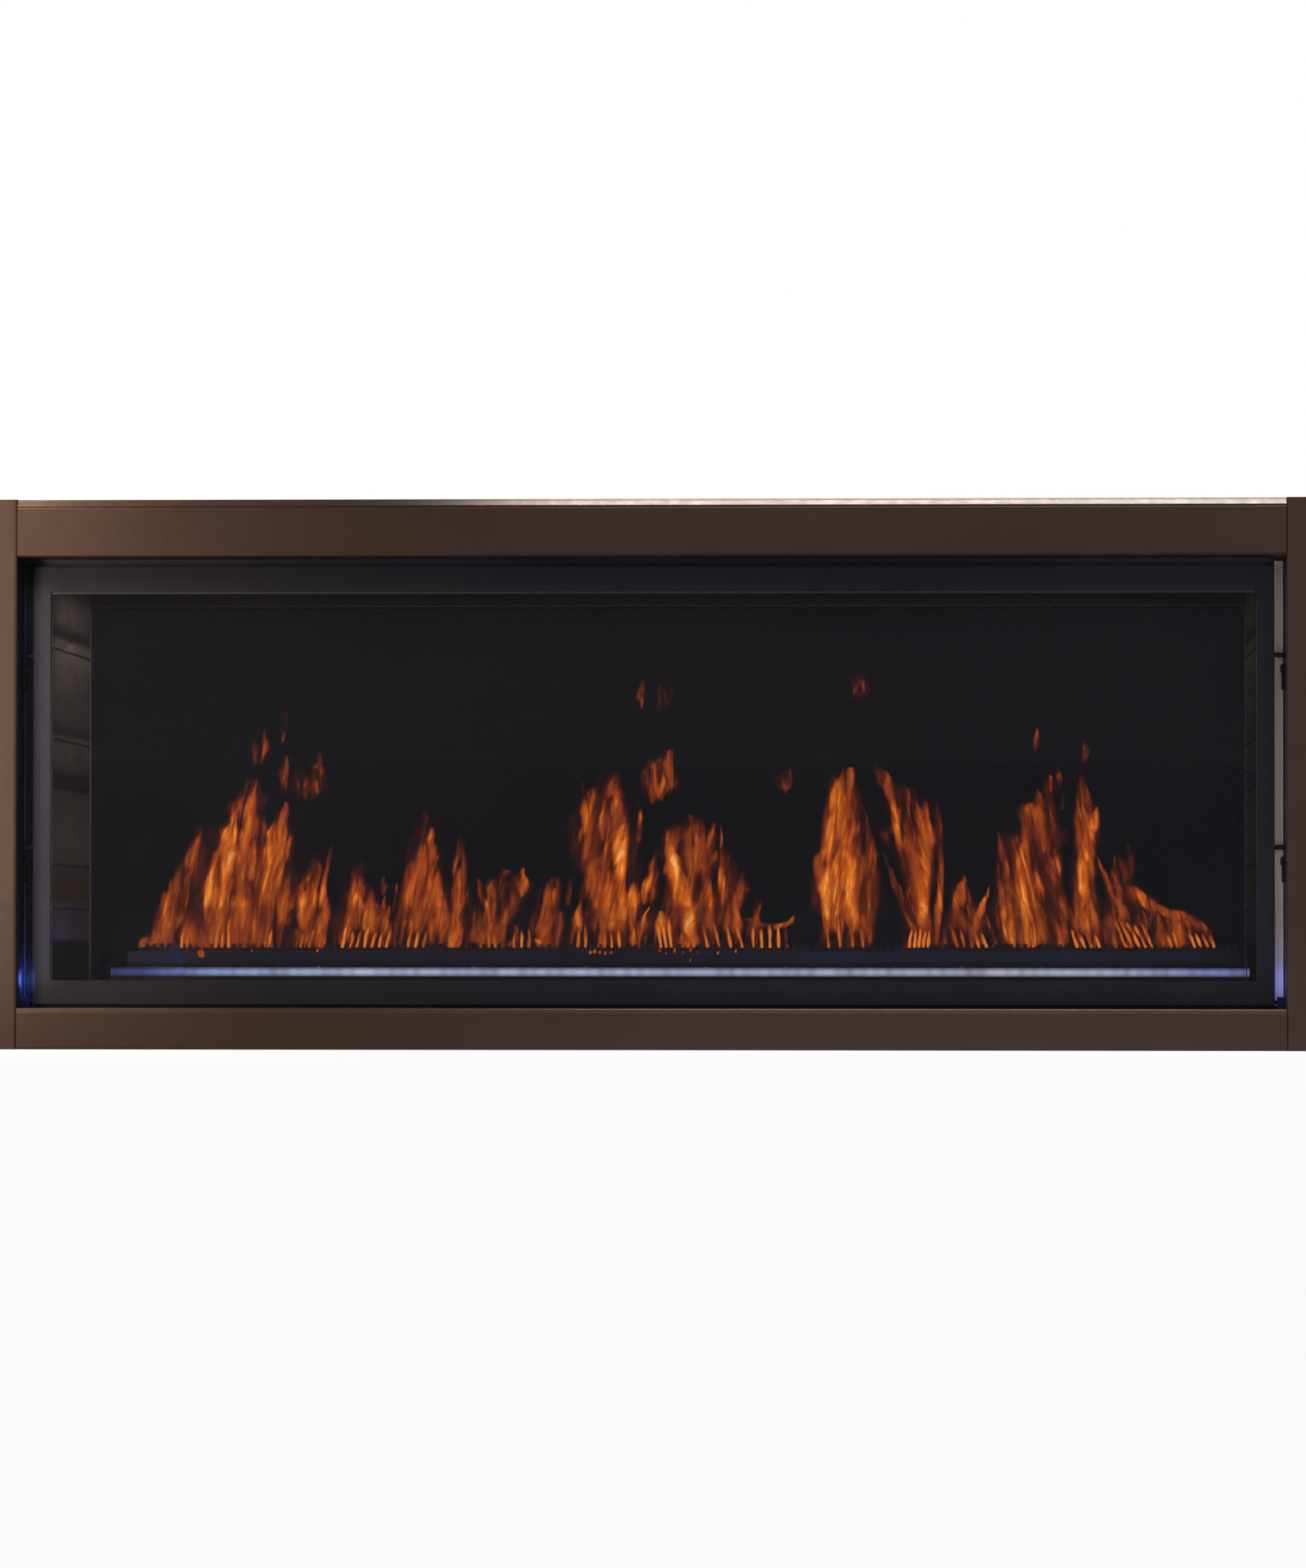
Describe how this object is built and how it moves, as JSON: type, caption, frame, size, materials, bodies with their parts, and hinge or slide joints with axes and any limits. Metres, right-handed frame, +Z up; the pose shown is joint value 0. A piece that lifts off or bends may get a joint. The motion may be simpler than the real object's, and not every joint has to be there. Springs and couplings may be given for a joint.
{
  "type": "double-sided fireplace",
  "caption": "Long see-through gas fireplace with a bronze surround, a dark recessed door and clear pane on each side, side liners, a line burner and a light bar.",
  "frame": {"origin": "middle of the base, on the surface that the part rests on", "axes": "+X to the right along the panes, +Y from the front side to the rear side, +Z up"},
  "size_m": [1.738, 0.5426, 0.692],
  "materials": {
    "bronze": "satin brown-bronze paint",
    "door_glass": "clear ceramic glass, polished",
    "guard_glass": "clear tempered glass, polished",
    "crushed_glass": "crushed dark glass",
    "gasket_rope": "woven glass rope",
    "liner_stone": "matt cast panel, dark courses",
    "light_bar": "frosted light strip in a dark channel",
    "recess_black": "semi-gloss black",
    "door_black": "satin black",
    "latch_steel": "black",
    "firebox_black": "matt high-temperature black",
    "burner_steel": "brushed",
    "valve_brass": "machined",
    "control_plastic": "moulded",
    "casing_steel": "galvanised sheet"
  },
  "bodies": {
    "firebox": {"front_surround_left_stile": "bronze", "front_surround_right_stile": "bronze", "front_surround_top_rail": "bronze", "front_surround_bottom_rail": "bronze", "front_return_frame": "recess_black", "front_face_plate": "firebox_black", "front_light_bar": "light_bar", "front_wind_guard": "guard_glass", "front_crushed_glass_bed": "crushed_glass", "rear_surround_left_stile": "bronze", "rear_surround_right_stile": "bronze", "rear_surround_top_rail": "bronze", "rear_surround_bottom_rail": "bronze", "rear_return_frame": "recess_black", "rear_face_plate": "firebox_black", "rear_light_bar": "light_bar", "rear_wind_guard": "guard_glass", "rear_crushed_glass_bed": "crushed_glass", "left_liner": "liner_stone", "right_liner": "liner_stone", "firebox_floor": "firebox_black", "left_burner_tray": "burner_steel", "right_burner_tray": "burner_steel", "port_comb": "burner_steel", "pilot_burner": "burner_steel", "flame_sensor": "burner_steel", "ceiling_baffle": "firebox_black", "flue_pipe": "casing_steel", "flue_collar": "casing_steel", "left_end_casing": "casing_steel", "right_end_casing": "casing_steel", "base_pan": "casing_steel", "top_casing": "casing_steel", "left_base_skid": "casing_steel", "right_base_skid": "casing_steel", "gas_valve": "valve_brass", "manifold_pipe": "casing_steel", "control_box": "control_plastic"},
    "front_door": {"front_door_frame": "door_black", "front_door_glass": "door_glass", "front_door_gasket": "gasket_rope"},
    "front_left_lower_latch": {"front_left_lower_latch": "latch_steel"},
    "front_left_upper_latch": {"front_left_upper_latch": "latch_steel"},
    "front_right_lower_latch": {"front_right_lower_latch": "latch_steel"},
    "front_right_upper_latch": {"front_right_upper_latch": "latch_steel"},
    "rear_door": {"rear_door_frame": "door_black", "rear_door_glass": "door_glass", "rear_door_gasket": "gasket_rope"},
    "rear_left_lower_latch": {"rear_left_lower_latch": "latch_steel"},
    "rear_left_upper_latch": {"rear_left_upper_latch": "latch_steel"},
    "rear_right_lower_latch": {"rear_right_lower_latch": "latch_steel"},
    "rear_right_upper_latch": {"rear_right_upper_latch": "latch_steel"},
    "access_cover": {"access_cover": "casing_steel"},
    "regulator_knob": {"regulator_knob": "control_plastic"},
    "shutoff_lever": {"shutoff_lever": "valve_brass"},
    "air_shutter": {"air_shutter": "casing_steel"},
    "rocker_switch": {"rocker_switch": "control_plastic"},
    "left_relief_flap": {"left_relief_flap": "casing_steel"},
    "right_relief_flap": {"right_relief_flap": "casing_steel"}
  },
  "joints": [
    {"name": "front_door_tilt", "type": "hinge", "parent": "firebox", "child": "front_door", "pos_m": [0, -0.2073, 0.0605], "axis": [1, 0, 0], "range_deg": [0, 35]},
    {"name": "front_left_lower_latch_turn", "type": "hinge", "parent": "firebox", "child": "front_left_lower_latch", "pos_m": [-0.7947, -0.2118, 0.23774], "axis": [-1, 0, 0], "range_deg": [0, 180]},
    {"name": "front_left_upper_latch_turn", "type": "hinge", "parent": "firebox", "child": "front_left_upper_latch", "pos_m": [-0.7947, -0.2118, 0.4797], "axis": [-1, 0, 0], "range_deg": [0, 180]},
    {"name": "front_right_lower_latch_turn", "type": "hinge", "parent": "firebox", "child": "front_right_lower_latch", "pos_m": [0.7947, -0.2118, 0.23774], "axis": [-1, 0, 0], "range_deg": [0, 180]},
    {"name": "front_right_upper_latch_turn", "type": "hinge", "parent": "firebox", "child": "front_right_upper_latch", "pos_m": [0.7947, -0.2118, 0.4797], "axis": [-1, 0, 0], "range_deg": [0, 180]},
    {"name": "rear_door_tilt", "type": "hinge", "parent": "firebox", "child": "rear_door", "pos_m": [0, 0.2073, 0.0605], "axis": [-1, 0, 0], "range_deg": [0, 35]},
    {"name": "rear_left_lower_latch_turn", "type": "hinge", "parent": "firebox", "child": "rear_left_lower_latch", "pos_m": [0.7947, 0.2118, 0.23774], "axis": [1, 0, 0], "range_deg": [0, 180]},
    {"name": "rear_left_upper_latch_turn", "type": "hinge", "parent": "firebox", "child": "rear_left_upper_latch", "pos_m": [0.7947, 0.2118, 0.4797], "axis": [1, 0, 0], "range_deg": [0, 180]},
    {"name": "rear_right_lower_latch_turn", "type": "hinge", "parent": "firebox", "child": "rear_right_lower_latch", "pos_m": [-0.7947, 0.2118, 0.23774], "axis": [1, 0, 0], "range_deg": [0, 180]},
    {"name": "rear_right_upper_latch_turn", "type": "hinge", "parent": "firebox", "child": "rear_right_upper_latch", "pos_m": [-0.7947, 0.2118, 0.4797], "axis": [1, 0, 0], "range_deg": [0, 180]},
    {"name": "access_cover_swing", "type": "hinge", "parent": "firebox", "child": "access_cover", "pos_m": [0.8493, 0, 0.344], "axis": [0, -1, 0], "range_deg": [0, 100]},
    {"name": "regulator_turn", "type": "hinge", "parent": "firebox", "child": "regulator_knob", "pos_m": [0.8246, -0.06, 0.1425], "axis": [1, 0, 0], "range_deg": [0, 180]},
    {"name": "shutoff_turn", "type": "hinge", "parent": "firebox", "child": "shutoff_lever", "pos_m": [0.816, -0.06, 0.08], "axis": [1, 0, 0], "range_deg": [0, 90]},
    {"name": "air_shutter_turn", "type": "hinge", "parent": "firebox", "child": "air_shutter", "pos_m": [0.6546, -0.035, 0.042], "axis": [1, 0, 0], "range_deg": [0, 60]},
    {"name": "rocker_tip", "type": "hinge", "parent": "firebox", "child": "rocker_switch", "pos_m": [0.8183, 0.044, 0.1525], "axis": [0, 1, 0], "range_deg": [0, 12]},
    {"name": "left_relief_flap_lift", "type": "hinge", "parent": "firebox", "child": "left_relief_flap", "pos_m": [-0.33, -0.055, 0.6012], "axis": [1, 0, 0], "range_deg": [0, 20]},
    {"name": "right_relief_flap_lift", "type": "hinge", "parent": "firebox", "child": "right_relief_flap", "pos_m": [0.33, -0.055, 0.6012], "axis": [1, 0, 0], "range_deg": [0, 20]}
  ]
}
